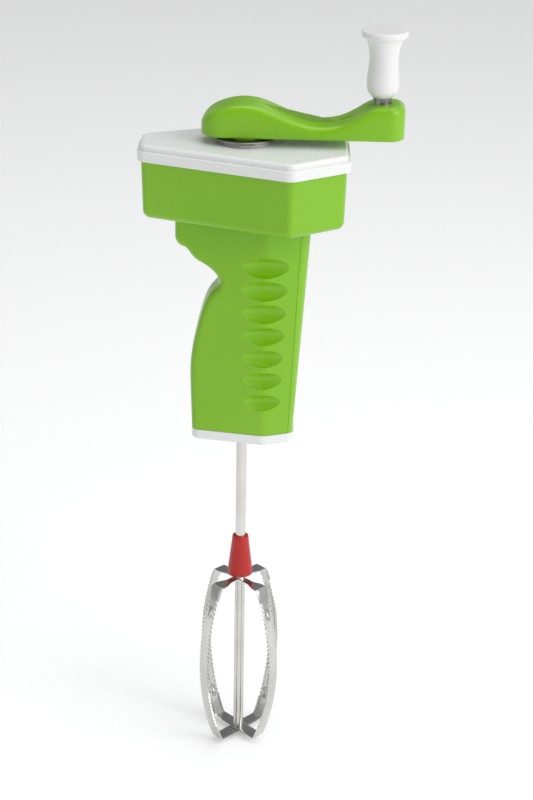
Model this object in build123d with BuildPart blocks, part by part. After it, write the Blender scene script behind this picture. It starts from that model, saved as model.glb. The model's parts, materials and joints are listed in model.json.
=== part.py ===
from build123d import *
import math
import os

os.makedirs("parts", exist_ok=True)

# Hand-cranked beater. Millimetres, +Z up along the drive shaft.
# Origin: on the shaft's axis at the grip's lower end. +X points to the broad front of the head,
# +Y to the left-hand side of the tool. Heights chain up from the grip and down to the beater.

# ---- fits ----
running_gap = 0.04
print_gap = 0.05
screw_gap = 0.1

# ---- drive shaft, spindle and bushes ----
shaft_radius = 2.5
shaft_bare = 55.0
shaft_chamfer = 0.4
spindle_radius = 3.0
hex_radius = 3.3
hex_length = 9.3
bush_wall = 2.0
bush_flange = 1.6
bush_flange_thick = 0.8
clip_thick = 0.6
clip_grip = 2.1
clip_groove = 0.4
clip_slot = 1.8

# ---- gears ----
gear_module = 0.85
wheel_teeth = 36
pinion_teeth = 12
wheel_addendum = 0.76
pinion_addendum = 0.95
gear_dedendum = 1.25
pressure_angle = 20.0
backlash = 0.14
wheel_width = 4.1
shaft_pinion_width = 7.5
gear_gap = 1.1
gear_hub_wall = 2.6
wheel_hole_radius = 2.1
wheel_hole_count = 6
axle_radius = 2.0
axle_engage = 5.2
idler_journal = 3.9

# ---- housing walls ----
head_wall = 2.4
bearing_boss_height = 4.5
boss_wall = 2.4
idler_boss_height = 5.9
axle_floor = 2.0
plate_thick = 2.0
plate_margin = 4.5
plate_hole_gap = 3.5

# ---- screws ----
screw_radius = 1.3
screw_head = 2.6
screw_head_thick = 1.6
screw_bite = 4.5
plate_screw_bite = 6.5
cap_screw_length = 11.0
lid_screw_sunk = 0.6
post_radius = 3.2

# ---- head box ----
gear_room = 6.85
head_back_x = -46.6
head_back_half = 9.5
head_side_half = 37.0
head_front_half = 21.0
head_corner = 4.0
head_under_round = 4.0
head_draft = 1.5

# ---- lid ----
lid_overhang = 1.7
lid_flange = 4.6
lid_step = 2.8
lid_step_inset = 1.2
lid_skin = 2.4
lid_edge_round = 1.5
lid_flange_round = 0.5
lid_boss_radius = 11.0
lid_boss_height = 1.3

# ---- grip ----
grip_length = 105.6
grip_side_x = 10.4
grip_side_half_low = 13.3
grip_side_half_high = 14.6
grip_front_x_low = 24.3
grip_front_x_high = 31.0
grip_front_half_low = 8.4
grip_front_half_high = 10.0
grip_back_reach = 36.0
grip_back_half = 4.2
grip_side_round = 9.0
grip_front_round = 5.0
grip_back_round = 3.4
palm_x = -24.5
palm_bend_drop = 69.0
notch_x = -10.9
notch_drop = 30.0
beak_x = -31.6
beak_drop = 14.8
beak_round = 4.6
cavity_back_x = -8.6
cavity_front_x = 14.0
cavity_half = 8.0
cavity_corner = 3.0
cavity_roof = 3.1

# ---- finger scoops, each a shallow spindle-shaped hollow over a side corner ----
scoop_count = 7
scoop_first = 17.0
scoop_last = 84.4
scoop_radius = 5.2
scoop_reach = 20.5
scoop_depth = 3.9
scoop_shrink = 0.84

# ---- front cover strip ----
seam_x_low = 21.9
seam_x_high = 26.4
seam_gap = 0.12
peg_radius = 1.9
peg_length = 4.0
peg_shares = (0.14, 0.48, 0.82)

# ---- bottom cap ----
cap_height = 5.0
cap_proud = 0.5
cap_plug = 3.0
cap_plug_gap = 0.15
cap_round = 1.4
cap_back_inset = 1.2
cap_back_half = 6.4
cap_back_round = 4.0
cap_screw_inset = 7.5

# ---- crank arm ----
arm_angle = -1.5
arm_clear = 1.0
arm_tail = 19.8
arm_end_reach = 10.4
arm_width = 21.5
arm_tail_height = 7.6
arm_hub_height = 14.8
arm_dip_x = 31.0
arm_dip_height = 5.8
arm_end_height = 15.2
arm_tail_corner = 9.5
arm_end_corner = 7.0
arm_boss_radius = 9.0
arm_hollow_depth = 3.4
arm_hollow_wall = 3.0
crank_radius = 60.8
disc_radius = 14.0
disc_thick = 1.3
disc_gap = 0.2
recess_radius = 5.6
recess_depth = 1.0

# ---- knob ----
knob_length = 29.5
knob_lift = 3.0
knob_foot = 4.8
knob_body = 7.2
knob_neck = 6.5
knob_rim = 10.3
knob_rim_thick = 2.4
knob_rim_round = 0.8
knob_pin_radius = 2.5
knob_pin_short = 9.4
knob_bore_gap = 0.06
knob_end_play = 0.2
pin_collar = 4.2
knob_screw_head = 4.0
knob_screw_thick = 1.8
knob_screw_length = 6.5
plug_radius = 5.2
plug_thick = 1.8

# ---- coupling ----
coupling_length = 21.0
coupling_small = 3.9
coupling_large = 6.15
coupling_band = 1.6
coupling_round = 0.7
shaft_socket = 17.0
rod_end_gap = 0.4

# ---- beater ----
beater_drop = 2.4
loop_height = 89.6
loop_shoulder = 15.6
loop_widest = 24.6
loop_widest_drop = 43.6
loop_foot = 14.4
loop_bend = 2.0
loop_nest = 0.05
strip_thick = 0.8
strip_width = 6.8
strip_neck = 3.6
strip_neck_reach = 10.1
rib_half = 0.9
rib_height = 0.6
rib_top_drop = 12.6
rib_foot_gap = 13.0
tenon_radius = 1.5
rivet_radius = 2.4
rivet_thick = 1.0
rivet_stub = 0.6

# ---- places worked out from the sizes ----
cap_bottom = -cap_height
coupling_top = cap_bottom - shaft_bare
coupling_bottom = coupling_top - coupling_length
shaft_bottom = coupling_top - shaft_socket
rod_top = shaft_bottom - rod_end_gap
loop_top = coupling_bottom - beater_drop
loop_bottom = loop_top - loop_height
loop_widest_z = loop_top - loop_widest_drop
nest = strip_thick + loop_nest

centre_distance = gear_module * (wheel_teeth + pinion_teeth) / 2
wheel_tip = gear_module * (wheel_teeth / 2 + wheel_addendum)
head_front_x = centre_distance + wheel_tip + gear_room + head_wall
head_side_x = centre_distance + 0.4
bush_outer = shaft_radius + bush_wall
spindle_bush_outer = spindle_radius + bush_wall

head_bottom = grip_length
cavity_top = head_bottom - cavity_roof
middle_bush_top = head_bottom + bearing_boss_height
shaft_pinion_low = middle_bush_top + bush_flange_thick + gear_gap
shaft_pinion_high = shaft_pinion_low + shaft_pinion_width
idler_low = head_bottom + idler_boss_height + gear_gap
idler_gear_low = idler_low + 0.7
idler_gear_high = idler_gear_low + wheel_width
plate_bottom = shaft_pinion_high + gear_gap
plate_top = plate_bottom + plate_thick
shaft_top = plate_top
spindle_bottom = shaft_top + gear_gap
crank_gear_low = spindle_bottom + clip_thick + 0.9
crank_gear_high = crank_gear_low + wheel_width
idler_high = crank_gear_high + 1.0
crank_hub_high = crank_gear_high + gear_gap
spindle_bush_low = crank_hub_high + 0.3
head_top = idler_high + 2.8
lid_flange_top = head_top + lid_flange
lid_top = lid_flange_top + lid_step
lid_boss_top = lid_top + lid_boss_height
axle_low = head_bottom + axle_floor
axle_high = idler_high + axle_engage

disc_low = lid_boss_top + disc_gap
arm_bottom = disc_low + disc_thick + arm_clear
spindle_top = arm_bottom + hex_length
arm_front = crank_radius + arm_end_reach
arm_end_z = arm_bottom + arm_end_height
recess_floor = arm_end_z - recess_depth
knob_bottom = arm_end_z + knob_lift
knob_top = knob_bottom + knob_length
knob_pin_top = knob_top - knob_pin_short

idler_spot = (centre_distance, 0.0)
lid_screw_spots = (
    (head_back_x + 8.6, 0.0),
    (head_front_x - 8.6, 13.5),
    (head_front_x - 8.6, -13.5),
    (head_side_x - 10.8, head_side_half - 11.0),
    (head_side_x - 10.8, 11.0 - head_side_half),
)
plate_post_y = wheel_tip + post_radius + 2.3
plate_screw_spots = (
    (-wheel_tip - post_radius - 0.4, 0.0),
    (centre_distance, plate_post_y),
    (centre_distance, -plate_post_y),
)
lid_screw_length = head_top - head_bottom - lid_screw_sunk - screw_head_thick + screw_bite
cap_screw_spots = (
    (palm_x + cap_back_inset + cap_screw_inset, 0.0),
    (grip_front_x_low - cap_screw_inset, 0.0),
)


def head_outline(shift):
    """Plan outline of the head, grown by shift."""
    with BuildSketch(Plane.XY, mode=Mode.PRIVATE) as outline:
        Polygon(
            (head_back_x, head_back_half),
            (head_side_x, head_side_half),
            (head_front_x, head_front_half),
            (head_front_x, -head_front_half),
            (head_side_x, -head_side_half),
            (head_back_x, -head_back_half),
            align=None,
        )
        fillet(outline.vertices(), head_corner)
        offset(amount=shift, kind=Kind.ARC, mode=Mode.REPLACE)
    return outline.sketch


def grip_outline(height, shift, back_x, back_half):
    """Plan outline of the grip at a height."""
    share = height / grip_length
    side_half = grip_side_half_low + (grip_side_half_high - grip_side_half_low) * share
    front_x = grip_front_x_low + (grip_front_x_high - grip_front_x_low) * share
    front_half = grip_front_half_low + (grip_front_half_high - grip_front_half_low) * share
    with BuildSketch(Plane.XY, mode=Mode.PRIVATE) as outline:
        Polygon(
            (back_x - shift, back_half + shift),
            (grip_side_x, side_half + shift),
            (front_x + shift, front_half + shift),
            (front_x + shift, -front_half - shift),
            (grip_side_x, -side_half - shift),
            (back_x - shift, -back_half - shift),
            align=None,
        )
        fillet(outline.vertices().filter_by(lambda v: v.X > grip_side_x + 1), grip_front_round)
        fillet(outline.vertices().filter_by(lambda v: abs(v.X - grip_side_x) < 0.01), grip_side_round)
    return outline.sketch


def gear_points(teeth, addendum, turn):
    """Outline points of an involute spur gear; turn is in degrees."""
    pitch_r = gear_module * teeth / 2
    base_r = pitch_r * math.cos(math.radians(pressure_angle))
    tip_r = pitch_r + addendum * gear_module
    root_r = pitch_r - gear_dedendum * gear_module
    pressure = math.radians(pressure_angle)
    half_pitch = (math.pi * gear_module / 2 - backlash) / (2 * pitch_r)
    half_base = half_pitch + math.tan(pressure) - pressure
    start_r = max(base_r, root_r)
    steps = 5
    flank = [(root_r, half_base if root_r < base_r else None)]
    for step in range(steps + 1):
        r = start_r + (tip_r - start_r) * step / steps
        a = math.acos(min(1.0, base_r / r))
        flank.append((r, half_base - (math.tan(a) - a)))
    if flank[0][1] is None:
        flank = flank[1:]
    points = []
    for tooth in range(teeth):
        centre = math.radians(turn) + 2 * math.pi * tooth / teeth
        for r, half in flank:
            points.append((r * math.cos(centre - half), r * math.sin(centre - half)))
        for r, half in reversed(flank):
            points.append((r * math.cos(centre + half), r * math.sin(centre + half)))
    return points


def side_half_at(height):
    """Half width of the grip at its side corners."""
    return grip_side_half_low + (grip_side_half_high - grip_side_half_low) * height / grip_length


# ---- grip solid shape, shared by the housing and the front cover ----
grip_roof = head_bottom + head_wall
notch_z = head_bottom - notch_drop
beak_z = head_bottom - beak_drop
palm_bend_z = head_bottom - palm_bend_drop
with BuildPart() as grip_shape:
    with BuildSketch(Plane.XY):
        add(grip_outline(0.0, 0.0, -grip_back_reach, grip_back_half))
    with BuildSketch(Plane.XY.offset(grip_roof)):
        add(grip_outline(grip_roof, 0.0, -grip_back_reach, grip_back_half))
    loft(ruled=True)
    with BuildSketch(Plane.XZ):
        with BuildLine():
            heel = (palm_x + 0.7, 0)
            beak_heel = (beak_x + beak_round, beak_z)
            beak_cheek = (beak_x, beak_z + beak_round)
            Spline(
                heel,
                (palm_x, palm_bend_z * 0.64),
                (palm_x + 0.3, palm_bend_z),
                (palm_x + 1.8, notch_z - 30.0),
                (notch_x - 8.0, notch_z - 14.6),
                (notch_x - 3.6, notch_z - 5.6),
                (notch_x, notch_z),
                (notch_x - 1.9, notch_z + 3.6),
                (notch_x - 7.0, notch_z + 7.6),
                (notch_x - 12.0, notch_z + 10.6),
                beak_heel,
                tangents=((-0.03, 1.0), (-0.86, 0.5)),
            )
            RadiusArc(beak_heel, beak_cheek, beak_round * 1.15)
            Polyline(
                beak_cheek,
                (beak_x, grip_roof),
                (grip_front_x_high + beak_round, grip_roof),
                (grip_front_x_high + beak_round, 0),
                heel,
            )
        make_face()
    extrude(amount=2 * grip_side_half_high, both=True, mode=Mode.INTERSECT)
    back_edges = grip_shape.edges().filter_by(
        lambda e: e.center().X < cavity_back_x and abs(e.center().Y) > 2 and e.bounding_box().size.Z > 3
    )
    fillet(back_edges.filter_by(lambda e: 3 < e.center().Z < head_bottom), grip_back_round)

with BuildPart() as scoops:
    for number in range(scoop_count):
        share = number / (scoop_count - 1)
        height = scoop_first + (scoop_last - scoop_first) * share
        size = scoop_shrink + (1 - scoop_shrink) * share
        for side in (-1, 1):
            centre_y = side * (side_half_at(height) + size * (scoop_radius - scoop_depth))
            spot = Vector(grip_side_x, centre_y, height)
            with BuildSketch(Plane(origin=spot, x_dir=(1, 0, 0), z_dir=(0, -1, 0))):
                with BuildLine():
                    ThreePointArc((-size * scoop_reach, 0), (0, size * scoop_radius), (size * scoop_reach, 0))
                    Line((size * scoop_reach, 0), (-size * scoop_reach, 0))
                make_face()
            revolve(axis=Axis(spot, (1, 0, 0)))

with BuildPart() as gripped_shape:
    add(grip_shape.part)
    add(scoops.part, mode=Mode.SUBTRACT)


def ahead_of_seam(gap):
    """Everything in front of the seam between the housing and the front cover."""
    far_x = 2 * grip_front_x_high
    with BuildPart(mode=Mode.PRIVATE) as made:
        with BuildSketch(Plane.XZ):
            Polygon(
                (seam_x_low + gap, -1),
                (seam_x_high + gap, head_bottom),
                (far_x, head_bottom),
                (far_x, -1),
                align=None,
            )
        extrude(amount=head_side_half, both=True)
    return made.part


def seam_x(height):
    """Front seam position at a height."""
    return seam_x_low + (seam_x_high - seam_x_low) * (height + 1) / (head_bottom + 1)


peg_heights = [head_bottom * share for share in peg_shares]


# ---- housing: head tub and grip in one moulding ----
with BuildPart() as housing:
    with BuildSketch(Plane.XY.offset(head_top)):
        add(head_outline(0.0))
    extrude(amount=head_bottom - head_top, taper=head_draft)
    fillet(housing.faces().sort_by(Axis.Z)[0].edges(), head_under_round)
    with BuildSketch(Plane.XY.offset(head_top)):
        add(head_outline(-head_wall))
    extrude(amount=head_bottom + head_wall - head_top, taper=head_draft, mode=Mode.SUBTRACT)
    add(gripped_shape.part)
    add(ahead_of_seam(0.0), mode=Mode.SUBTRACT)
    with BuildSketch(Plane.XY):
        with Locations(((cavity_back_x + cavity_front_x) / 2, 0)):
            RectangleRounded(cavity_front_x - cavity_back_x, 2 * cavity_half, cavity_corner)
    extrude(amount=cavity_top, mode=Mode.SUBTRACT)
    # bearing boss, idler boss, lid posts and plate posts
    with Locations((0, 0, head_bottom)):
        Cylinder(bush_outer + boss_wall, bearing_boss_height, align=(Align.CENTER, Align.CENTER, Align.MIN))
    with Locations((idler_spot[0], 0, head_bottom)):
        Cylinder(axle_radius + boss_wall, idler_boss_height, align=(Align.CENTER, Align.CENTER, Align.MIN))
    for spot in lid_screw_spots:
        with Locations((spot[0], spot[1], head_bottom + 1)):
            Cylinder(post_radius, head_top - head_bottom - 1, align=(Align.CENTER, Align.CENTER, Align.MIN))
    for spot in plate_screw_spots:
        with Locations((spot[0], spot[1], head_bottom + 1)):
            Cylinder(post_radius, plate_bottom - head_bottom - 1, align=(Align.CENTER, Align.CENTER, Align.MIN))
    # bores
    with Locations((0, 0, cavity_top)):
        Cylinder(bush_outer, head_top - cavity_top, align=(Align.CENTER, Align.CENTER, Align.MIN), mode=Mode.SUBTRACT)
    with Locations((idler_spot[0], 0, axle_low)):
        Cylinder(axle_radius, idler_boss_height, align=(Align.CENTER, Align.CENTER, Align.MIN), mode=Mode.SUBTRACT)
    for spot in lid_screw_spots:
        with Locations((spot[0], spot[1], head_bottom - 1)):
            Cylinder(screw_radius + screw_gap, 40, align=(Align.CENTER, Align.CENTER, Align.MIN), mode=Mode.SUBTRACT)
            Cylinder(
                screw_head + 0.3,
                1 + lid_screw_sunk + screw_head_thick,
                align=(Align.CENTER, Align.CENTER, Align.MIN),
                mode=Mode.SUBTRACT,
            )
    for spot in plate_screw_spots:
        with Locations((spot[0], spot[1], plate_bottom)):
            Cylinder(screw_radius, plate_screw_bite, align=(Align.CENTER, Align.CENTER, Align.MAX), mode=Mode.SUBTRACT)
    for spot in cap_screw_spots:
        with Locations((spot[0], spot[1], 0)):
            Cylinder(screw_radius, cap_screw_length, align=(Align.CENTER, Align.CENTER, Align.MIN), mode=Mode.SUBTRACT)
    for height in peg_heights:
        with Locations((seam_x(height) + 1, 0, height)):
            Cylinder(
                peg_radius + print_gap,
                peg_length + 2.5,
                rotation=(0, -90, 0),
                align=(Align.CENTER, Align.CENTER, Align.MIN),
                mode=Mode.SUBTRACT,
            )
housing.part.label = "housing"
export_step(housing.part, "parts/housing.step")

# ---- front cover strip on the grip, with pegs ----
with BuildPart() as front_cover:
    add(gripped_shape.part)
    add(ahead_of_seam(seam_gap), mode=Mode.INTERSECT)
    for height in peg_heights:
        with Locations((seam_x(height) + 0.6, 0, height)):
            Cylinder(
                peg_radius, peg_length, rotation=(0, -90, 0), align=(Align.CENTER, Align.CENTER, Align.MIN)
            )
front_cover.part.label = "front_cover"
export_step(front_cover.part, "parts/front_cover.step")

# ---- bottom cap ----
with BuildPart() as bottom_cap:
    with BuildSketch(Plane.XY.offset(cap_bottom)):
        add(grip_outline(0.0, cap_proud, palm_x + cap_back_inset, cap_back_half))
        fillet(vertices().group_by(Axis.X)[0], cap_back_round)
    extrude(amount=cap_height - print_gap)
    fillet(bottom_cap.faces().sort_by(Axis.Z)[0].edges(), cap_round)
    with BuildSketch(Plane.XY.offset(-print_gap)):
        with Locations(((cavity_back_x + cavity_front_x) / 2, 0)):
            RectangleRounded(cavity_front_x - cavity_back_x, 2 * cavity_half, cavity_corner)
            offset(amount=-cap_plug_gap, mode=Mode.REPLACE)
    extrude(amount=cap_plug)
    with Locations((0, 0, cap_bottom - 1)):
        Cylinder(bush_outer, 20, align=(Align.CENTER, Align.CENTER, Align.MIN), mode=Mode.SUBTRACT)
    for spot in cap_screw_spots:
        with Locations((spot[0], spot[1], cap_bottom - 1)):
            Cylinder(screw_radius + screw_gap, 20, align=(Align.CENTER, Align.CENTER, Align.MIN), mode=Mode.SUBTRACT)
            Cylinder(
                screw_head + 0.2,
                1 + screw_head_thick,
                align=(Align.CENTER, Align.CENTER, Align.MIN),
                mode=Mode.SUBTRACT,
            )
bottom_cap.part.label = "bottom_cap"
export_step(bottom_cap.part, "parts/bottom_cap.step")

# ---- lid ----
with BuildPart() as lid:
    with BuildSketch(Plane.XY.offset(head_top)):
        add(head_outline(lid_overhang))
    extrude(amount=lid_flange_top - head_top)
    with BuildSketch(Plane.XY.offset(lid_flange_top)):
        add(head_outline(lid_overhang - lid_step_inset))
    extrude(amount=lid_step)
    fillet(lid.faces().sort_by(Axis.Z)[-1].edges(), lid_edge_round)
    flange_face = lid.faces().filter_by(Axis.Z).filter_by(lambda f: abs(f.center().Z - lid_flange_top) < 0.01)[0]
    fillet(flange_face.outer_wire().edges(), lid_flange_round)
    with BuildSketch(Plane.XY.offset(head_top)):
        add(head_outline(-head_wall))
    extrude(amount=lid_top - lid_skin - head_top, mode=Mode.SUBTRACT)
    with Locations((0, 0, lid_top)):
        Cylinder(lid_boss_radius, lid_boss_height, align=(Align.CENTER, Align.CENTER, Align.MIN))
    with Locations((0, 0, lid_top - 1)):
        Cylinder(
            spindle_bush_outer + boss_wall,
            lid_top - 1 - spindle_bush_low,
            align=(Align.CENTER, Align.CENTER, Align.MAX),
        )
    with Locations((idler_spot[0], 0, lid_top - 1)):
        Cylinder(axle_radius + boss_wall, lid_top - 1 - idler_high - gear_gap, align=(Align.CENTER, Align.CENTER, Align.MAX))
    for spot in lid_screw_spots:
        with Locations((spot[0], spot[1], head_top)):
            Cylinder(post_radius, lid_top - head_top - 1, align=(Align.CENTER, Align.CENTER, Align.MIN))
    with Locations((0, 0, head_bottom)):
        Cylinder(spindle_bush_outer, 2 * (lid_top - head_bottom), align=(Align.CENTER, Align.CENTER, Align.MIN), mode=Mode.SUBTRACT)
    with Locations((idler_spot[0], 0, axle_high + print_gap)):
        Cylinder(axle_radius, axle_engage, align=(Align.CENTER, Align.CENTER, Align.MAX), mode=Mode.SUBTRACT)
    for spot in lid_screw_spots:
        with Locations((spot[0], spot[1], head_top)):
            Cylinder(screw_radius, screw_bite, align=(Align.CENTER, Align.CENTER, Align.MIN), mode=Mode.SUBTRACT)
lid.part.label = "lid"
export_step(lid.part, "parts/lid.step")


def screw(spot, head_z, length, up):
    """One pan-head screw with a cross recess; up is 1 when it is driven upwards."""
    x, y = spot
    with BuildPart(mode=Mode.PRIVATE) as made:
        far = Align.MIN if up > 0 else Align.MAX
        with Locations((x, y, head_z)):
            Cylinder(screw_head, screw_head_thick, align=(Align.CENTER, Align.CENTER, far))
        with Locations((x, y, head_z + up * screw_head_thick)):
            Cylinder(screw_radius, length, align=(Align.CENTER, Align.CENTER, far))
        with Locations((x, y, head_z)):
            Box(2.8, 0.6, 0.8, align=(Align.CENTER, Align.CENTER, far), mode=Mode.SUBTRACT)
            Box(0.6, 2.8, 0.8, align=(Align.CENTER, Align.CENTER, far), mode=Mode.SUBTRACT)
    return made.part


with BuildPart() as lid_screws:
    for spot in lid_screw_spots:
        add(screw(spot, head_bottom + lid_screw_sunk, lid_screw_length, 1))
lid_screws.part.label = "lid_screws"
export_step(lid_screws.part, "parts/lid_screws.step")

with BuildPart() as cap_screws:
    for spot in cap_screw_spots:
        add(screw(spot, cap_bottom, cap_height - screw_head_thick + cap_screw_length, 1))
cap_screws.part.label = "cap_screws"
export_step(cap_screws.part, "parts/cap_screws.step")

with BuildPart() as plate_screws:
    for spot in plate_screw_spots:
        add(screw(spot, plate_top + screw_head_thick, plate_thick + plate_screw_bite, -1))
plate_screws.part.label = "plate_screws"
export_step(plate_screws.part, "parts/plate_screws.step")

# ---- gear plate ----
ear_back_x = centre_distance - plate_margin
plate_waist = wheel_tip + plate_hole_gap - 1
ear_tip_y = plate_post_y + plate_margin
with BuildPart() as gear_plate:
    with BuildSketch(Plane.XY.offset(plate_bottom)):
        with BuildLine() as half_plate:
            Polyline(
                (plate_screw_spots[0][0] - plate_margin, 0),
                (plate_screw_spots[0][0] - plate_margin, plate_margin),
                (ear_back_x - 0.5, plate_waist),
                (ear_back_x, ear_tip_y),
                (centre_distance + plate_margin, ear_tip_y),
                (centre_distance + plate_margin, 0),
            )
            mirror(half_plate.edges(), about=Plane.XZ)
        make_face()
        fillet(vertices().filter_by(lambda v: abs(v.Y) > 1), 3.0)
    extrude(amount=plate_thick)
    with Locations((0, 0, plate_bottom)):
        Cylinder(bush_outer, plate_thick, align=(Align.CENTER, Align.CENTER, Align.MIN), mode=Mode.SUBTRACT)
    with Locations((idler_spot[0], 0, plate_bottom)):
        Cylinder(
            idler_journal + plate_hole_gap,
            plate_thick,
            align=(Align.CENTER, Align.CENTER, Align.MIN),
            mode=Mode.SUBTRACT,
        )
    for spot in plate_screw_spots:
        with Locations((spot[0], spot[1], plate_bottom)):
            Cylinder(
                screw_radius + screw_gap,
                plate_thick,
                align=(Align.CENTER, Align.CENTER, Align.MIN),
                mode=Mode.SUBTRACT,
            )
gear_plate.part.label = "gear_plate"
export_step(gear_plate.part, "parts/gear_plate.step")


def bush(low, high, inner, outer, flange_z, flange_up):
    """Plain bush with a flange; low and high are its ends."""
    with BuildPart(mode=Mode.PRIVATE) as made:
        with Locations((0, 0, low)):
            Cylinder(outer, high - low, align=(Align.CENTER, Align.CENTER, Align.MIN))
        near = Align.MIN if flange_up > 0 else Align.MAX
        with Locations((0, 0, flange_z)):
            Cylinder(outer + bush_flange, bush_flange_thick, align=(Align.CENTER, Align.CENTER, near))
        Cylinder(inner, 1000, mode=Mode.SUBTRACT)
    return made.part


shaft_bore = shaft_radius + running_gap
cap_plug_top = cap_plug - print_gap
with BuildPart() as lower_bush:
    add(bush(cap_bottom, cap_plug_top + bush_flange_thick, shaft_bore, bush_outer, cap_plug_top, 1))
lower_bush.part.label = "lower_bush"
export_step(lower_bush.part, "parts/lower_bush.step")

with BuildPart() as middle_bush:
    add(bush(cavity_top, middle_bush_top + bush_flange_thick, shaft_bore, bush_outer, middle_bush_top, 1))
middle_bush.part.label = "middle_bush"
export_step(middle_bush.part, "parts/middle_bush.step")

with BuildPart() as upper_bush:
    add(bush(plate_bottom - 0.6, plate_top + bush_flange_thick, shaft_bore, bush_outer, plate_top, 1))
upper_bush.part.label = "upper_bush"
export_step(upper_bush.part, "parts/upper_bush.step")

with BuildPart() as spindle_bush:
    with Locations((0, 0, spindle_bush_low)):
        Cylinder(
            spindle_bush_outer,
            lid_boss_top - spindle_bush_low,
            align=(Align.CENTER, Align.CENTER, Align.MIN),
        )
    Cylinder(spindle_radius + running_gap, 1000, mode=Mode.SUBTRACT)
spindle_bush.part.label = "spindle_bush"
export_step(spindle_bush.part, "parts/spindle_bush.step")

# ---- gears ----
wheel_hole_ring = 0.6 * wheel_tip
with BuildPart() as crank_gear:
    with BuildSketch(Plane.XY.offset(crank_gear_low)):
        Polygon(*gear_points(wheel_teeth, wheel_addendum, 0.0), align=None)
    extrude(amount=crank_gear_high - crank_gear_low)
    with Locations((0, 0, crank_gear_low)):
        Cylinder(spindle_radius + gear_hub_wall, crank_hub_high - crank_gear_low, align=(Align.CENTER, Align.CENTER, Align.MIN))
    with PolarLocations(wheel_hole_ring, wheel_hole_count):
        Cylinder(wheel_hole_radius, 1000, mode=Mode.SUBTRACT)
    Cylinder(spindle_radius, 1000, mode=Mode.SUBTRACT)
crank_gear.part.label = "crank_gear"
export_step(crank_gear.part, "parts/crank_gear.step")

with BuildPart() as idler_gear:
    with BuildSketch(Plane.XY.offset(idler_gear_low)):
        with Locations(idler_spot):
            Polygon(*gear_points(wheel_teeth, wheel_addendum, 0.0), align=None)
    extrude(amount=idler_gear_high - idler_gear_low)
    with Locations(idler_spot):
        with PolarLocations(wheel_hole_ring, wheel_hole_count):
            Cylinder(wheel_hole_radius, 1000, mode=Mode.SUBTRACT)
        Cylinder(idler_journal, 1000, mode=Mode.SUBTRACT)
idler_gear.part.label = "idler_gear"
export_step(idler_gear.part, "parts/idler_gear.step")

with BuildPart() as idler_pinion:
    with BuildSketch(Plane.XY.offset(idler_gear_high)):
        with Locations(idler_spot):
            Polygon(*gear_points(pinion_teeth, pinion_addendum, 180.0 / pinion_teeth), align=None)
    extrude(amount=idler_high - idler_gear_high)
    with Locations((idler_spot[0], 0, idler_low)):
        Cylinder(idler_journal, idler_gear_high - idler_low, align=(Align.CENTER, Align.CENTER, Align.MIN))
    with Locations(idler_spot):
        Cylinder(axle_radius + running_gap, 1000, mode=Mode.SUBTRACT)
idler_pinion.part.label = "idler_pinion"
export_step(idler_pinion.part, "parts/idler_pinion.step")

with BuildPart() as idler_axle:
    with Locations((idler_spot[0], 0, axle_low)):
        Cylinder(axle_radius, axle_high - axle_low, align=(Align.CENTER, Align.CENTER, Align.MIN))
    chamfer(idler_axle.faces().sort_by(Axis.Z)[-1].edges(), 0.3)
idler_axle.part.label = "idler_axle"
export_step(idler_axle.part, "parts/idler_axle.step")

with BuildPart() as shaft_pinion:
    with BuildSketch(Plane.XY.offset(shaft_pinion_low)):
        Polygon(*gear_points(pinion_teeth, pinion_addendum, 180.0 / pinion_teeth), align=None)
    extrude(amount=shaft_pinion_high - shaft_pinion_low)
    Cylinder(shaft_radius, 1000, mode=Mode.SUBTRACT)
shaft_pinion.part.label = "shaft_pinion"
export_step(shaft_pinion.part, "parts/shaft_pinion.step")

# ---- shafts ----
collar_low = cap_plug_top + bush_flange_thick + 0.3
with BuildPart() as drive_shaft:
    with Locations((0, 0, shaft_bottom)):
        Cylinder(shaft_radius, shaft_top - shaft_bottom, align=(Align.CENTER, Align.CENTER, Align.MIN))
    chamfer(drive_shaft.faces().sort_by(Axis.Z)[-1].edges(), shaft_chamfer)
    chamfer(drive_shaft.faces().sort_by(Axis.Z)[0].edges(), shaft_chamfer)
    with Locations((0, 0, collar_low)):
        Cylinder(shaft_radius, clip_thick, align=(Align.CENTER, Align.CENTER, Align.MIN), mode=Mode.SUBTRACT)
        Cylinder(shaft_radius - clip_groove, clip_thick, align=(Align.CENTER, Align.CENTER, Align.MIN))
drive_shaft.part.label = "drive_shaft"
export_step(drive_shaft.part, "parts/drive_shaft.step")


def clip(low, inner):
    """Open retaining ring."""
    with BuildPart(mode=Mode.PRIVATE) as made:
        with Locations((0, 0, low)):
            Cylinder(inner + clip_groove + clip_grip, clip_thick, align=(Align.CENTER, Align.CENTER, Align.MIN))
            Cylinder(inner, clip_thick, align=(Align.CENTER, Align.CENTER, Align.MIN), mode=Mode.SUBTRACT)
            Box(10, clip_slot, clip_thick, align=(Align.MIN, Align.CENTER, Align.MIN), mode=Mode.SUBTRACT)
    return made.part


with BuildPart() as shaft_clip:
    add(clip(collar_low, shaft_radius - clip_groove))
shaft_clip.part.label = "shaft_clip"
export_step(shaft_clip.part, "parts/shaft_clip.step")

gear_clip_low = crank_gear_low - clip_thick
with BuildPart() as crank_spindle:
    with Locations((0, 0, spindle_bottom)):
        Cylinder(spindle_radius, arm_bottom - spindle_bottom, align=(Align.CENTER, Align.CENTER, Align.MIN))
    with BuildSketch(Plane.XY.offset(arm_bottom)):
        RegularPolygon(hex_radius, 6)
    extrude(amount=spindle_top - arm_bottom)
    with Locations((0, 0, gear_clip_low)):
        Cylinder(spindle_radius, clip_thick, align=(Align.CENTER, Align.CENTER, Align.MIN), mode=Mode.SUBTRACT)
        Cylinder(spindle_radius - clip_groove, clip_thick, align=(Align.CENTER, Align.CENTER, Align.MIN))
crank_spindle.part.label = "crank_spindle"
export_step(crank_spindle.part, "parts/crank_spindle.step")

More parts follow.
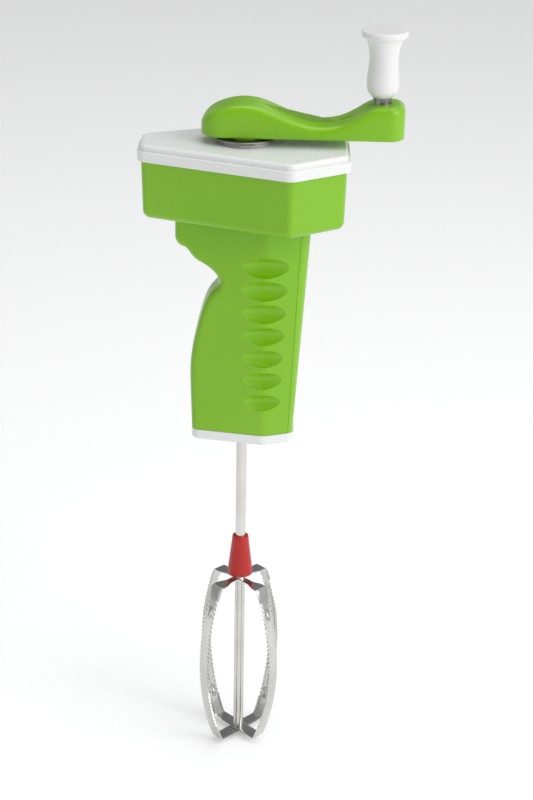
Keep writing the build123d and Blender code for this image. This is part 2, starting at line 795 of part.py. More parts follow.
with BuildPart() as gear_clip:
    add(clip(gear_clip_low, spindle_radius - clip_groove))
gear_clip.part.label = "gear_clip"
export_step(gear_clip.part, "parts/gear_clip.step")

# ---- crank arm, along its own direction ----
arm_x = (math.cos(math.radians(arm_angle)), math.sin(math.radians(arm_angle)), 0)
arm_side = Plane(origin=(0, 0, arm_bottom), x_dir=arm_x, z_dir=(arm_x[1], -arm_x[0], 0))
arm_plan = Plane(origin=(0, 0, arm_bottom), x_dir=arm_x, z_dir=(0, 0, 1))
knob_spot = (crank_radius * arm_x[0], crank_radius * arm_x[1])
hollow_back = arm_boss_radius + arm_hollow_wall
hollow_front = crank_radius - recess_radius - arm_hollow_wall - 4

with BuildPart() as crank_arm:
    with BuildSketch(arm_side.offset(-arm_width / 2)):
        with BuildLine():
            Spline(
                (-arm_tail, arm_tail_height),
                (-12.0, arm_hub_height - 2.6),
                (0, arm_hub_height),
                (12.0, arm_hub_height - 2.8),
                (arm_dip_x - 10, arm_dip_height + 2.6),
                (arm_dip_x, arm_dip_height),
                (crank_radius - 17, arm_dip_height + 1.6),
                (crank_radius - 11.5, arm_dip_height + 4.4),
                (crank_radius - 6.5, arm_end_height - 1.6),
                (crank_radius - 2.5, arm_end_height),
                tangents=((1.0, 0.85), (1.0, 0.0)),
            )
            Polyline(
                (crank_radius - 2.5, arm_end_height),
                (arm_front, arm_end_height),
                (arm_front, 0),
                (-arm_tail, 0),
                (-arm_tail, arm_tail_height),
            )
        make_face()
    extrude(amount=arm_width)
    with BuildSketch(arm_plan):
        with Locations(((arm_front - arm_tail) / 2, 0)):
            Rectangle(arm_front + arm_tail, arm_width)
        fillet(vertices().group_by(Axis.X)[0], arm_tail_corner)
        fillet(vertices().group_by(Axis.X)[-1], arm_end_corner)
    extrude(amount=2 * arm_hub_height, mode=Mode.INTERSECT)
    with Locations((0, 0, arm_bottom)):
        Cylinder(arm_boss_radius, arm_clear, align=(Align.CENTER, Align.CENTER, Align.MAX))
    with BuildSketch(arm_plan):
        with Locations(((hollow_back + hollow_front) / 2, 0)):
            RectangleRounded(hollow_front - hollow_back, arm_width - 2 * arm_hollow_wall, 3.0)
    extrude(amount=arm_hollow_depth, mode=Mode.SUBTRACT)
    with Locations((knob_spot[0], knob_spot[1], recess_floor)):
        Cylinder(recess_radius, 2 * recess_depth, align=(Align.CENTER, Align.CENTER, Align.MIN), mode=Mode.SUBTRACT)
    with Locations((knob_spot[0], knob_spot[1], arm_bottom)):
        Cylinder(knob_pin_radius, arm_end_height, align=(Align.CENTER, Align.CENTER, Align.MIN), mode=Mode.SUBTRACT)
    with Locations((0, 0, arm_bottom - arm_clear)):
        Cylinder(spindle_radius, arm_clear, align=(Align.CENTER, Align.CENTER, Align.MIN), mode=Mode.SUBTRACT)
    with BuildSketch(Plane.XY.offset(arm_bottom)):
        RegularPolygon(hex_radius, 6)
    extrude(amount=hex_length, mode=Mode.SUBTRACT)
crank_arm.part.label = "crank_arm"
export_step(crank_arm.part, "parts/crank_arm.step")

with BuildPart() as hub_disc:
    with Locations((0, 0, disc_low)):
        Cylinder(disc_radius, disc_thick, align=(Align.CENTER, Align.CENTER, Align.MIN))
    chamfer(hub_disc.edges().filter_by(GeomType.CIRCLE), 0.3)
    Cylinder(spindle_radius, 1000, mode=Mode.SUBTRACT)
hub_disc.part.label = "hub_disc"
export_step(hub_disc.part, "parts/hub_disc.step")

# ---- knob and its pin ----
knob_plane = Plane(origin=(knob_spot[0], knob_spot[1], 0), x_dir=arm_x, z_dir=(arm_x[1], -arm_x[0], 0))
knob_axis = Axis((knob_spot[0], knob_spot[1], 0), (0, 0, 1))
with BuildPart() as knob:
    with BuildSketch(knob_plane):
        with BuildLine():
            Polyline(
                (0, knob_bottom),
                (knob_foot, knob_bottom),
            )
            Spline(
                (knob_foot, knob_bottom),
                (knob_body - 0.3, knob_bottom + 3.0),
                (knob_body, knob_bottom + 8.0),
                (knob_neck, knob_bottom + 17.0),
                (knob_neck + 0.5, knob_bottom + 21.5),
                (knob_neck + 2.0, knob_top - knob_rim_thick - 1.6),
                (knob_rim, knob_top - knob_rim_thick),
            )
            Polyline(
                (knob_rim, knob_top - knob_rim_thick),
                (knob_rim, knob_top),
                (0, knob_top),
                (0, knob_bottom),
            )
        make_face()
    revolve(axis=knob_axis)
    fillet(knob.edges().group_by(Axis.Z)[-1], knob_rim_round)
    with Locations((knob_spot[0], knob_spot[1], 0)):
        Cylinder(knob_pin_radius + knob_bore_gap, 1000, mode=Mode.SUBTRACT)
    with Locations((knob_spot[0], knob_spot[1], knob_pin_top - knob_end_play)):
        Cylinder(knob_screw_head + 0.5, 20, align=(Align.CENTER, Align.CENTER, Align.MIN), mode=Mode.SUBTRACT)
    with Locations((knob_spot[0], knob_spot[1], knob_top - plug_thick)):
        Cylinder(plug_radius, 20, align=(Align.CENTER, Align.CENTER, Align.MIN), mode=Mode.SUBTRACT)
knob.part.label = "knob"
export_step(knob.part, "parts/knob.step")

with BuildPart() as knob_plug:
    with Locations((knob_spot[0], knob_spot[1], knob_top - plug_thick)):
        Cylinder(plug_radius, plug_thick, align=(Align.CENTER, Align.CENTER, Align.MIN))
knob_plug.part.label = "knob_plug"
export_step(knob_plug.part, "parts/knob_plug.step")

with BuildPart() as knob_pin:
    with Locations((knob_spot[0], knob_spot[1], arm_bottom)):
        Cylinder(knob_pin_radius, knob_pin_top - arm_bottom, align=(Align.CENTER, Align.CENTER, Align.MIN))
    with Locations((knob_spot[0], knob_spot[1], recess_floor)):
        Cylinder(pin_collar, knob_bottom - knob_end_play - recess_floor, align=(Align.CENTER, Align.CENTER, Align.MIN))
    with Locations((knob_spot[0], knob_spot[1], knob_pin_top)):
        Cylinder(screw_radius, knob_screw_length, align=(Align.CENTER, Align.CENTER, Align.MAX), mode=Mode.SUBTRACT)
knob_pin.part.label = "knob_pin"
export_step(knob_pin.part, "parts/knob_pin.step")

with BuildPart() as knob_screw:
    with Locations((knob_spot[0], knob_spot[1], knob_pin_top)):
        Cylinder(knob_screw_head, knob_screw_thick, align=(Align.CENTER, Align.CENTER, Align.MIN))
        Cylinder(screw_radius, knob_screw_length, align=(Align.CENTER, Align.CENTER, Align.MAX))
knob_screw.part.label = "knob_screw"
export_step(knob_screw.part, "parts/knob_screw.step")

# ---- coupling and beater ----
with BuildPart() as coupling:
    with BuildSketch(Plane.XZ):
        Polygon(
            (0, coupling_bottom),
            (coupling_large, coupling_bottom),
            (coupling_large, coupling_bottom + coupling_band),
            (coupling_small, coupling_top),
            (0, coupling_top),
            align=None,
        )
    revolve(axis=Axis.Z)
    fillet(coupling.faces().sort_by(Axis.Z)[-1].edges(), coupling_round)
    Cylinder(shaft_radius, 1000, mode=Mode.SUBTRACT)
coupling.part.label = "coupling"
export_step(coupling.part, "parts/coupling.step")


def strip_loop(top, bottom, angle):
    """Closed sheet-steel loop round the rod, seen edge on along its own plane."""
    a = math.radians(angle)
    side = Plane(origin=(0, 0, 0), x_dir=(math.cos(a), math.sin(a), 0), z_dir=(math.sin(a), -math.cos(a), 0))

    def face(grow):
        with BuildSketch(side, mode=Mode.PRIVATE) as made:
            with BuildLine():
                Polyline((0, bottom), (loop_foot, bottom))
                ThreePointArc((loop_foot, bottom), (loop_widest, loop_widest_z), (loop_shoulder, top))
                Polyline((loop_shoulder, top), (-loop_shoulder, top))
                ThreePointArc((-loop_shoulder, top), (-loop_widest, loop_widest_z), (-loop_foot, bottom))
                Polyline((-loop_foot, bottom), (0, bottom))
            make_face()
            fillet(made.vertices().filter_by(lambda v: abs(v.X) + abs(v.Y) > 5), loop_bend)
            offset(amount=grow, kind=Kind.ARC, mode=Mode.REPLACE)
        return made.sketch

    outline = face(0.0)
    inside = face(-strip_thick)
    ridge = face(rib_height)
    around = face(rib_height + 1)
    with BuildPart(mode=Mode.PRIVATE) as ends:
        with Locations((0, 0, loop_top - rib_top_drop)):
            Box(80, 80, 40, align=(Align.CENTER, Align.CENTER, Align.MIN))
        with Locations((0, 0, loop_bottom + rib_foot_gap)):
            Box(80, 80, 40, align=(Align.CENTER, Align.CENTER, Align.MAX))
    with BuildPart(mode=Mode.PRIVATE) as plain_ends:
        extrude(around, amount=strip_width, both=True)
        extrude(outline, amount=strip_width, both=True, mode=Mode.SUBTRACT)
        add(ends.part, mode=Mode.INTERSECT)
    with BuildPart(mode=Mode.PRIVATE) as made:
        extrude(outline, amount=strip_width / 2, both=True)
        extrude(ridge, amount=rib_half, both=True)
        extrude(inside, amount=strip_width, both=True, mode=Mode.SUBTRACT)
        add(plain_ends.part, mode=Mode.SUBTRACT)
        for turn in (1, -1):
            with Locations(Plane(origin=(0, 0, top), x_dir=side.x_dir, z_dir=(0, 0, 1))):
                with Locations((0, turn * strip_width / 2, 0)):
                    Box(2 * strip_neck_reach, strip_width - strip_neck, 3, mode=Mode.SUBTRACT)
    return made.part


with BuildPart() as beater_loop_a:
    add(strip_loop(loop_top, loop_bottom, 45.0))
    with Locations((0, 0, loop_top)):
        Cylinder(shaft_radius, 20, mode=Mode.SUBTRACT)
    with Locations((0, 0, loop_bottom)):
        Cylinder(tenon_radius, 20, mode=Mode.SUBTRACT)
beater_loop_a.part.label = "beater_loop_a"
export_step(beater_loop_a.part, "parts/beater_loop_a.step")

with BuildPart() as beater_loop_b:
    add(strip_loop(loop_top - nest, loop_bottom + nest, 135.0))
    with Locations((0, 0, loop_top)):
        Cylinder(shaft_radius, 20, mode=Mode.SUBTRACT)
    with Locations((0, 0, loop_bottom)):
        Cylinder(tenon_radius, 20, mode=Mode.SUBTRACT)
beater_loop_b.part.label = "beater_loop_b"
export_step(beater_loop_b.part, "parts/beater_loop_b.step")

rod_shoulder = loop_bottom + nest + strip_thick
with BuildPart() as beater_rod:
    with Locations((0, 0, rod_top)):
        Cylinder(shaft_radius, rod_top - rod_shoulder, align=(Align.CENTER, Align.CENTER, Align.MAX))
    with Locations((0, 0, rod_shoulder)):
        Cylinder(tenon_radius, rod_shoulder - loop_bottom + rivet_thick + rivet_stub, align=(Align.CENTER, Align.CENTER, Align.MAX))
beater_rod.part.label = "beater_rod"
export_step(beater_rod.part, "parts/beater_rod.step")

with BuildPart() as beater_rivet:
    with Locations((0, 0, loop_bottom)):
        Cylinder(rivet_radius, rivet_thick, align=(Align.CENTER, Align.CENTER, Align.MAX))
        Cylinder(tenon_radius, rivet_thick, align=(Align.CENTER, Align.CENTER, Align.MAX), mode=Mode.SUBTRACT)
beater_rivet.part.label = "beater_rivet"
export_step(beater_rivet.part, "parts/beater_rivet.step")
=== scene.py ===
import json
import math

import bpy
import bmesh
from mathutils import Matrix, Vector


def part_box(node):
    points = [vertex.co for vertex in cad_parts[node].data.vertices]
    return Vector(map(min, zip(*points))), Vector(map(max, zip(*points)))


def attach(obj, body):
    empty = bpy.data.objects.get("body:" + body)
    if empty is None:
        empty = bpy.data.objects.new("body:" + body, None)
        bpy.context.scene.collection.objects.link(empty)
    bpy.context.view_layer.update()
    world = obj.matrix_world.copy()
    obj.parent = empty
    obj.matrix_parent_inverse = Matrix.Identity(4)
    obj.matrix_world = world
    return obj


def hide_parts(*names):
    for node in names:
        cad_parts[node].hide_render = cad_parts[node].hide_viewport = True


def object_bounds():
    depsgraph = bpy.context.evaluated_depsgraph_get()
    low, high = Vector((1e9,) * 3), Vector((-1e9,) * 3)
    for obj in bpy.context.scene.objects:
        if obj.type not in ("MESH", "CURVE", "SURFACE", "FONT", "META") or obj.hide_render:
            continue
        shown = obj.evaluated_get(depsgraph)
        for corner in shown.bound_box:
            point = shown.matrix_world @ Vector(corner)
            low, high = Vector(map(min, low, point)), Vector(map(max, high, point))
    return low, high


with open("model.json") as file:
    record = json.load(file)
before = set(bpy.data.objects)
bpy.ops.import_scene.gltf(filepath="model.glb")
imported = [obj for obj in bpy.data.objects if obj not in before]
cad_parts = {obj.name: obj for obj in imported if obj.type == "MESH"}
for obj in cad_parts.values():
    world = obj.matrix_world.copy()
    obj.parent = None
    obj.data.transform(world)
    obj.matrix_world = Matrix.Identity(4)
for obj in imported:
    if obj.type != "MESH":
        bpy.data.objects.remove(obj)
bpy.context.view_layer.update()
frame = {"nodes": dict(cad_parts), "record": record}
nodes = frame["nodes"]


# ---------------------------------------------------------------- materials
class Nodes:
    """A small helper to write node materials."""

    def __init__(self, name):
        self.mat = bpy.data.materials.new(name)
        self.mat.use_nodes = True
        self.tree = self.mat.node_tree
        self.bsdf = self.tree.nodes["Principled BSDF"]

    def add(self, kind, **inputs):
        node = self.tree.nodes.new(kind)
        for key, value in inputs.items():
            node.inputs[key.replace("_", " ")].default_value = value
        return node

    def link(self, a, b):
        self.tree.links.new(a, b)

    def coords(self, scale=(1, 1, 1)):
        tex = self.tree.nodes.new("ShaderNodeTexCoord")
        mapping = self.tree.nodes.new("ShaderNodeMapping")
        mapping.inputs["Scale"].default_value = scale
        self.link(tex.outputs["Object"], mapping.inputs["Vector"])
        return mapping.outputs["Vector"]

    def noise(self, scale, detail, vector, rough=0.5):
        node = self.add("ShaderNodeTexNoise", Scale=scale, Detail=detail, Roughness=rough)
        self.link(vector, node.inputs["Vector"])
        return node.outputs["Fac"]

    def grey(self, value, low, high, start=0.3, end=0.7):
        node = self.tree.nodes.new("ShaderNodeMapRange")
        node.inputs["From Min"].default_value = start
        node.inputs["From Max"].default_value = end
        node.inputs["To Min"].default_value = low
        node.inputs["To Max"].default_value = high
        self.link(value, node.inputs["Value"])
        return node.outputs["Result"]

    def mix(self, fac, a, b, kind="MIX"):
        node = self.tree.nodes.new("ShaderNodeMix")
        node.data_type = "RGBA"
        node.blend_type = kind
        if hasattr(fac, "is_linked"):
            self.link(fac, node.inputs["Factor"])
        else:
            node.inputs["Factor"].default_value = fac
        for value, socket in ((a, node.inputs[6]), (b, node.inputs[7])):
            if hasattr(value, "is_linked"):
                self.link(value, socket)
            else:
                socket.default_value = (*value, 1)
        return node.outputs[2]

    def bump(self, heights):
        normal = None
        for height, strength, distance in heights:
            node = self.add("ShaderNodeBump", Strength=strength, Distance=distance)
            self.link(height, node.inputs["Height"])
            if normal is not None:
                self.link(normal, node.inputs["Normal"])
            normal = node.outputs["Normal"]
        self.link(normal, self.bsdf.inputs["Normal"])

    def set(self, **inputs):
        for key, value in inputs.items():
            self.bsdf.inputs[key.replace("_", " ")].default_value = value


def moulded(name, colour, dark, rough, gloss_spread=0.06, grain=0.05, subsurface=0.0):
    """Injection-moulded plastic: slight flow clouding, paler rubbed patches, fine orange peel."""
    n = Nodes(name)
    v = n.coords()
    cloud = n.noise(14, 3, v)
    fine = n.noise(420, 4, v, 0.6)
    peel = n.noise(900, 2, v)
    scuff = n.noise(60, 6, n.coords((1, 1, 0.35)), 0.7)
    body = n.mix(n.grey(cloud, 0.0, 1.0, 0.35, 0.65), dark, colour)
    rubbed = n.noise(26, 5, n.coords((1, 1, 0.5)), 0.65)
    paler = tuple(min(1.0, c * 0.9 + 0.06) for c in colour)
    body = n.mix(n.grey(rubbed, 0.0, 0.16, 0.58, 0.78), body, paler)
    n.link(body, n.bsdf.inputs["Base Color"])
    n.link(n.grey(scuff, rough - gloss_spread, rough + gloss_spread, 0.3, 0.75), n.bsdf.inputs["Roughness"])
    n.bump([(peel, grain, 0.00025), (fine, grain * 0.6, 0.0002)])
    n.set(IOR=1.49, Subsurface_Weight=subsurface, Subsurface_Scale=0.004)
    return n.mat


def metal(name, colour, dark, rough, stretch, spread=0.08, grain=0.12):
    """Drawn or rolled steel: fine lines along its length, faint clouding."""
    n = Nodes(name)
    v = n.coords(stretch)
    lines = n.noise(900, 3, v, 0.6)
    cloud = n.noise(45, 4, n.coords())
    spots = n.noise(700, 2, n.coords())
    body = n.mix(n.grey(cloud, 0.0, 1.0, 0.35, 0.7), colour, dark)
    body = n.mix(n.grey(spots, 0.0, 0.25, 0.66, 0.78), body, tuple(c * 0.55 for c in dark))
    n.link(body, n.bsdf.inputs["Base Color"])
    n.link(n.grey(lines, rough - spread / 2, rough + spread, 0.3, 0.7), n.bsdf.inputs["Roughness"])
    n.bump([(lines, grain, 0.0001)])
    n.set(Metallic=1.0, Anisotropic=0.25)
    return n.mat


green = moulded("lime_plastic", (0.205, 0.475, 0.004), (0.185, 0.445, 0.003), 0.25)
white = moulded("white_plastic", (0.76, 0.77, 0.76), (0.735, 0.745, 0.735), 0.3)
knob_white = moulded("knob_plastic", (0.74, 0.735, 0.73), (0.71, 0.705, 0.70), 0.36)
red = moulded("red_plastic", (0.47, 0.008, 0.004), (0.41, 0.006, 0.003), 0.34)
nylon = moulded("black_nylon", (0.03, 0.03, 0.032), (0.022, 0.022, 0.024), 0.5)
acetal = moulded("acetal", (0.74, 0.70, 0.58), (0.70, 0.66, 0.53), 0.42, subsurface=0.1)
bar = metal("bright_bar", (0.66, 0.65, 0.63), (0.58, 0.57, 0.55), 0.16, (1, 1, 0.04))
sheet = metal("bright_sheet", (0.64, 0.635, 0.62), (0.55, 0.545, 0.53), 0.15, (1, 1, 0.05), 0.06, 0.08)
plain = metal("plain_sheet", (0.55, 0.55, 0.55), (0.47, 0.47, 0.47), 0.34, (0.05, 1, 1))
zinc = metal("zinc_plate", (0.60, 0.60, 0.61), (0.5, 0.5, 0.51), 0.32, (1, 1, 1))
# Dark steel: its low base colour is partly real steel and partly painted shade, standing in for the shadow
# under the knob and under the arm.
steel_with_painted_shade = metal("steel_and_painted_shade", (0.30, 0.29, 0.28), (0.22, 0.21, 0.20), 0.3, (1, 1, 0.1))

by_slot = {
    "green_shell": green,
    "white_plastic": white,
    "red_plastic": red,
    "bright_steel": bar,
    "blade_steel": sheet,
    "plate_steel": plain,
    "screw_steel": zinc,
    "gear_plastic": acetal,
    "bush_plastic": nylon,
}
for part in frame["record"]["subparts"]:
    obj = nodes[part["node"]]
    obj.data.materials.clear()
    obj.data.materials.append(by_slot[part["material_slot"]])
for name in ("knob", "knob_plug"):
    nodes[name].data.materials[0] = knob_white
# The hub disc and the knob pin collar take the dark steel, so painted shade shows under the arm and under
# the knob.
for name in ("hub_disc", "knob_pin"):
    nodes[name].data.materials[0] = steel_with_painted_shade


# ---------------------------------------------------------------- beater blades
def mesh_object(name, verts, faces, material):
    """A closed mesh with its faces turned outward and its edges over 32 degrees kept sharp."""
    mesh = bpy.data.meshes.new(name)
    mesh.from_pydata(verts, [], faces)
    mesh.update()
    obj = bpy.data.objects.new(name, mesh)
    bpy.context.scene.collection.objects.link(obj)
    mesh.materials.append(material)
    bm = bmesh.new()
    bm.from_mesh(mesh)
    bmesh.ops.recalc_face_normals(bm, faces=bm.faces)
    bm.to_mesh(mesh)
    bm.free()
    mesh.shade_smooth()
    mesh.set_sharp_from_angle(angle=math.radians(32))
    return obj


def rounded(points, radius, step):
    """A polyline with its corners rounded and its runs divided, as (x, z) pairs."""
    out = [points[0]]
    for i in range(1, len(points) - 1):
        a, b, c = Vector(points[i - 1]), Vector(points[i]), Vector(points[i + 1])
        u, w = (a - b).normalized(), (c - b).normalized()
        turn = math.pi - u.angle(w)
        if turn < math.radians(20):
            out.append(tuple(b))
            continue
        cut = min(radius * math.tan(turn / 2), (a - b).length * 0.45, (c - b).length * 0.45)
        p, q = b + u * cut, b + w * cut
        for k in range(7):
            t = k / 6
            out.append(tuple(p.lerp(b, t).lerp(b.lerp(q, t), t)))
    out.append(points[-1])
    dense = [Vector(out[0])]
    for p in out[1:]:
        p = Vector(p)
        run = p - dense[-1]
        count = max(1, round(run.length / step))
        start = dense[-1].copy()
        for k in range(1, count + 1):
            dense.append(start.lerp(p, k / count))
    return dense


def arc_points(a, m, b, count):
    """Points on the circle through three (x, z) points."""
    (x1, y1), (x2, y2), (x3, y3) = a, m, b
    d = 2 * (x1 * (y2 - y3) + x2 * (y3 - y1) + x3 * (y1 - y2))
    s1, s2, s3 = x1 * x1 + y1 * y1, x2 * x2 + y2 * y2, x3 * x3 + y3 * y3
    cx = (s1 * (y2 - y3) + s2 * (y3 - y1) + s3 * (y1 - y2)) / d
    cy = (s1 * (x3 - x2) + s2 * (x1 - x3) + s3 * (x2 - x1)) / d
    r = math.hypot(x1 - cx, y1 - cy)
    t1, t3 = math.atan2(y1 - cy, x1 - cx), math.atan2(y3 - cy, x3 - cx)
    return [
        (cx + r * math.cos(t1 + (t3 - t1) * k / count), cy + r * math.sin(t1 + (t3 - t1) * k / count))
        for k in range(count + 1)
    ]


MM = 0.001
thick = 0.75 * MM
half_wide = 3.4 * MM
half_neck = 1.8 * MM
tooth = 2.4 * MM
tooth_deep = 1.15 * MM
rib_half = 1.3 * MM
rib_high = 0.85 * MM
rib_fade = 7 * MM
edge_trim = 0.12 * MM


def rib_lift(u, fade):
    """Height of the pressed rib at a distance u from the strip's centre line."""
    share = abs(u) / (rib_half * 1.2)
    if share >= 1.0:
        return 0.0
    return rib_high * fade * math.cos(share * math.pi / 2) ** 0.8


def strip(name, node, angle):
    """One closed loop of bent strip with serrated edges and pressed ribs, in place of the node."""
    lo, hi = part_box(node)
    top, bottom = hi.z - thick / 2, lo.z + thick / 2
    top_r, wide_r, foot_r = 15.4 * MM, 24.3 * MM, 14.2 * MM
    mid = top - 43.6 * MM
    rib_top, rib_foot = top - 9 * MM, bottom + 9 * MM
    bow = arc_points((top_r, top), (wide_r, mid), (foot_r, bottom), 40)
    corners = [(0.0, top)] + bow + [(0.0, bottom)]
    path = rounded(corners, 1.6 * MM, tooth / 4)
    half = [p.copy() for p in path]
    full = half + [Vector((-p.x, p.y)) for p in reversed(half[1:-1])]
    count = len(full)
    away = Vector((math.cos(angle), math.sin(angle), 0))
    side = Vector((-math.sin(angle), math.cos(angle), 0))
    rows = []
    run = 0.0
    for i, p in enumerate(full):
        a, b = full[i - 1], full[(i + 1) % count]
        tangent = (b - a).normalized()
        if i:
            run += (p - full[i - 1]).length
        outward = Vector((tangent.y, -tangent.x))
        if outward.dot(Vector((p.x, p.y - mid))) < 0:
            outward = -outward
        upright = abs(tangent.y)
        reach = abs(p.x)
        wide = half_wide
        if p.y > mid and upright < 0.6:
            share = max(0.0, min(1.0, (reach - 6.5 * MM) / (6.0 * MM)))
            wide = half_neck + (half_wide - half_neck) * share * share * (3 - 2 * share)
        wave = 0.0
        if bottom + 9.5 * MM < p.y < top - 6.6 * MM:
            phase = (run / tooth) % 1.0
            wave = tooth_deep * abs(2 * phase - 1)
        fade = min(1.0, max(0.0, (rib_top - p.y) / rib_fade), max(0.0, (p.y - rib_foot) / rib_fade))
        fade = fade * fade * (3 - 2 * fade)
        outline = []
        edge = wide - wave
        across = (-edge, -edge + 0.35 * MM, -rib_half * 1.25, -rib_half * 0.8, -rib_half * 0.4, 0.0)
        across = across + tuple(-u for u in reversed(across[:-1]))
        for u in across:
            lift = rib_lift(u, fade)
            trim = edge_trim if abs(abs(u) - edge) < 1e-9 else 0.0
            outline.append((u, lift + thick / 2 - trim))
        for u in reversed(across):
            lift = rib_lift(u, fade)
            trim = edge_trim if abs(abs(u) - edge) < 1e-9 else 0.0
            outline.append((u, lift - thick / 2 + trim))
        rows.append(
            [
                away * (p.x + outward.x * h) + side * u + Vector((0, 0, p.y + outward.y * h))
                for u, h in outline
            ]
        )
    size = len(rows[0])
    verts = [v for row in rows for v in row]
    faces = []
    for i in range(count):
        j = (i + 1) % count
        for k in range(size):
            m = (k + 1) % size
            faces.append((i * size + k, i * size + m, j * size + m, j * size + k))
    obj = mesh_object(name, verts, faces, sheet)
    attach(obj, "shaft")
    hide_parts(node)
    return obj


strip("blade_loop_a", "beater_loop_a", math.radians(45))
strip("blade_loop_b", "beater_loop_b", math.radians(135))

# ---------------------------------------------------------------- crank arm
arm_half = 10.75 * MM
arm_rim = 3.0 * MM
arm_foot_rim = 0.8 * MM
tail_corner, end_corner = 9.5 * MM, 7.0 * MM
arm_tail, arm_end = -19.8 * MM, 71.2 * MM
crest = (
    (-19.8, 7.6), (-16.2, 10.3), (-12.0, 12.3), (-6.0, 14.2), (0.0, 14.8), (6.0, 14.1), (12.0, 12.0),
    (21.0, 8.3), (31.0, 5.8), (38.0, 6.0), (43.8, 7.4), (49.3, 10.2), (54.3, 13.4), (58.3, 15.0),
    (62.0, 15.2), (71.2, 15.2),
)


def crest_height(x):
    """Height of the arm's top above its flat underside, smoothed through the crest points."""
    x = min(max(x / MM, crest[0][0]), crest[-1][0])
    i = max(k for k in range(len(crest) - 1) if crest[k][0] <= x)
    (x0, y0), (x1, y1) = crest[i], crest[i + 1]

    def slope(k):
        if k in (0, len(crest) - 1):
            return 0.55 if k == 0 else 0.0
        return (crest[k + 1][1] - crest[k - 1][1]) / (crest[k + 1][0] - crest[k - 1][0])

    run, t = x1 - x0, (x - x0) / (x1 - x0)
    a, b = slope(i) * run, slope(i + 1) * run
    cubic = (2 * t**3 - 3 * t**2 + 1) * y0 + (t**3 - 2 * t**2 + t) * a
    cubic += (3 * t**2 - 2 * t**3) * y1 + (t**3 - t**2) * b
    return cubic * MM


def arm_outline(inset):
    """Plan outline of the arm pulled in by inset: the same number of points whatever the inset."""
    half = arm_half - inset
    low, high = arm_tail + inset, arm_end - inset
    points = []
    for corner, x_end, toward in ((end_corner, high, 1), (tail_corner, low, -1)):
        r = min(max(corner - inset, 0.05 * MM), half)
        centre = x_end - toward * r
        for sign in (-1, 1):
            for k in range(9):
                turn = math.pi / 2 * (k / 8 if sign > 0 else 1 - k / 8)
                x, y = centre + toward * r * math.cos(turn), (half - r) + r * math.sin(turn)
                points.append((x, toward * sign * y))
    straight = 64
    near_end, near_tail = points[17], points[18]
    along = [
        (near_end[0] + (near_tail[0] - near_end[0]) * k / straight, near_end[1]) for k in range(1, straight)
    ]
    back = [(x, -y) for x, y in reversed(along)]
    return points[:18] + along + points[18:] + back


def arm_shell():
    """The arm's moulded skin: rounded rim, wavy top, flat foot with a shallow recess."""
    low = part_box("crank_arm")[0].z + 1.0 * MM
    knob_low, knob_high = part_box("knob")
    knob_at = (knob_low + knob_high) / 2
    spin = Matrix.Rotation(math.atan2(knob_at.y, knob_at.x), 3, "Z")
    rings = []
    for inset, rise in ((7.0, 1.2), (3.2, 1.2), (2.4, 0.0)):
        rings.append([(x, y, rise * MM) for x, y in arm_outline(inset * MM)])
    for k in range(5):
        turn = math.pi / 2 * k / 4
        inset = arm_foot_rim * (1 - math.sin(turn))
        rings.append([(x, y, arm_foot_rim * (1 - math.cos(turn))) for x, y in arm_outline(inset)])
    for k in range(9):
        turn = math.pi / 2 * k / 8
        inset = arm_rim * (1 - math.cos(turn))
        drop = arm_rim * (1 - math.sin(turn))
        rings.append([(x, y, crest_height(x) - drop) for x, y in arm_outline(inset)])
    for share in (0.4, 0.6, 0.8, 0.93, 0.99):
        inset = arm_rim + (arm_half - arm_rim) * share
        rings.append([(x, y, crest_height(x)) for x, y in arm_outline(inset)])
    size = len(rings[0])
    verts = [spin @ Vector(p) + Vector((0, 0, low)) for ring in rings for p in ring]
    faces = []
    for i in range(len(rings) - 1):
        for k in range(size):
            m = (k + 1) % size
            faces.append((i * size + k, i * size + m, (i + 1) * size + m, (i + 1) * size + k))
    faces.append(tuple(range(size)))
    faces.append(tuple(range((len(rings) - 1) * size, len(rings) * size)))
    obj = mesh_object("arm_shell", verts, faces, green)
    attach(obj, "crank")
    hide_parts("crank_arm")
    return obj


def turned_ring(name, centre, profile, material, body):
    """A ring turned about a vertical axis from (radius, z) points."""
    count = 64
    verts, faces = [], []
    for k in range(count):
        turn = 2 * math.pi * k / count
        verts += [(centre[0] + r * math.cos(turn), centre[1] + r * math.sin(turn), z) for r, z in profile]
    size = len(profile)
    for k in range(count):
        m = (k + 1) % count
        for j in range(size):
            q = (j + 1) % size
            faces.append((k * size + j, m * size + j, m * size + q, k * size + q))
    obj = mesh_object(name, verts, faces, material)
    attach(obj, body)
    return obj


arm_shell()
arm_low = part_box("crank_arm")[0].z
boss_bore, boss_radius = 3.2 * MM, 9 * MM
boss_top = arm_low + 2.4 * MM
boss_profile = [(boss_bore, arm_low), (boss_radius, arm_low), (boss_radius, boss_top), (boss_bore, boss_top)]
turned_ring("arm_boss", (0, 0), boss_profile, green, "crank")

# ---------------------------------------------------------------- stage
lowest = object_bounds()[0].z
bm = bmesh.new()
bmesh.ops.create_grid(bm, x_segments=8, y_segments=8, size=6.0)
floor_mesh = bpy.data.meshes.new("floor")
bm.to_mesh(floor_mesh)
bm.free()
floor = bpy.data.objects.new("floor", floor_mesh)
floor.location = (0, 0, lowest - 0.0002)
bpy.context.scene.collection.objects.link(floor)
floor_glow = 0.22
n = Nodes("pale_floor")
tone = n.mix(n.noise(3, 2, n.coords()), (0.86, 0.86, 0.865), (0.88, 0.88, 0.882))
n.link(tone, n.bsdf.inputs["Base Color"])
n.set(Roughness=0.8, Emission_Color=(1, 1, 1, 1), Emission_Strength=floor_glow)
floor_mesh.materials.append(n.mat)

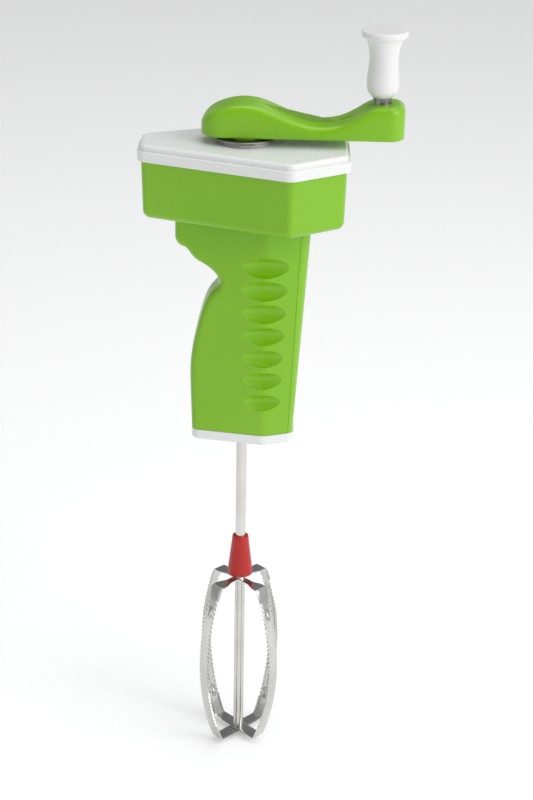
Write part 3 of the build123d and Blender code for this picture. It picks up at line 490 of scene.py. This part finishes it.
world = bpy.data.worlds.new("studio")
bpy.context.scene.world = world
world.use_nodes = True
background = world.node_tree.nodes["Background"]
background.inputs["Strength"].default_value = 0.62
direction = world.node_tree.nodes.new("ShaderNodeTexCoord")
axes = world.node_tree.nodes.new("ShaderNodeSeparateXYZ")
spread = world.node_tree.nodes.new("ShaderNodeMapRange")
spread.inputs["From Min"].default_value = -1
room = world.node_tree.nodes.new("ShaderNodeValToRGB")
world.node_tree.links.new(direction.outputs["Generated"], axes.inputs["Vector"])
world.node_tree.links.new(axes.outputs["X"], spread.inputs["Value"])
world.node_tree.links.new(spread.outputs["Result"], room.inputs["Fac"])
world.node_tree.links.new(room.outputs["Color"], background.inputs["Color"])
room_tones = ((0.0, 0.62), (0.3, 0.85), (0.42, 0.30), (0.52, 0.38), (0.62, 1.0), (1.0, 0.95))
for i, (place, tone) in enumerate(room_tones):
    element = room.color_ramp.elements[i] if i < 2 else room.color_ramp.elements.new(place)
    element.position = place
    element.color = (tone * 0.98, tone * 0.99, tone, 1)


def area(name, where, aim, width, height, power, colour=(1, 1, 1)):
    light = bpy.data.lights.new(name, "AREA")
    light.shape = "RECTANGLE"
    light.size, light.size_y = width, height
    light.energy = power
    light.color = colour
    obj = bpy.data.objects.new(name, light)
    obj.location = where
    obj.rotation_euler = (Vector(aim) - Vector(where)).to_track_quat("-Z", "Y").to_euler()
    bpy.context.scene.collection.objects.link(obj)
    return obj


area("key", (1.1, -0.75, 0.70), (0, 0, 0.05), 0.9, 1.1, 12)
area("top", (0.1, 0.1, 1.4), (0, 0, 0.05), 1.2, 1.0, 8)
area("fill", (-1.2, -0.9, 0.4), (0, 0, 0.05), 1.0, 1.2, 2)

# ---------------------------------------------------------------- camera
camera_data = bpy.data.cameras.new("camera")
camera = bpy.data.objects.new("camera", camera_data)
bpy.context.scene.collection.objects.link(camera)
bpy.context.scene.camera = camera
camera_place = Vector((0.0128, -0.8088, 0.372))
focal_length = 1850 / 800
yaw, pitch, roll = math.radians(-0.08), math.radians(23.94), math.radians(1.04)
ahead = Vector((math.sin(yaw) * math.cos(pitch), math.cos(yaw) * math.cos(pitch), -math.sin(pitch)))
right = Vector((math.cos(yaw), -math.sin(yaw), 0))
up = right.cross(ahead)
turned_right = right * math.cos(roll) + up * math.sin(roll)
turned_up = up * math.cos(roll) - right * math.sin(roll)
camera.matrix_world = Matrix.Translation(camera_place) @ Matrix(
    (turned_right, turned_up, -ahead)
).transposed().to_4x4()
camera_data.sensor_width = 36
camera_data.lens = focal_length * camera_data.sensor_width
camera_data.clip_start, camera_data.clip_end = 0.05, 50

bpy.context.scene.view_settings.view_transform = "Standard"
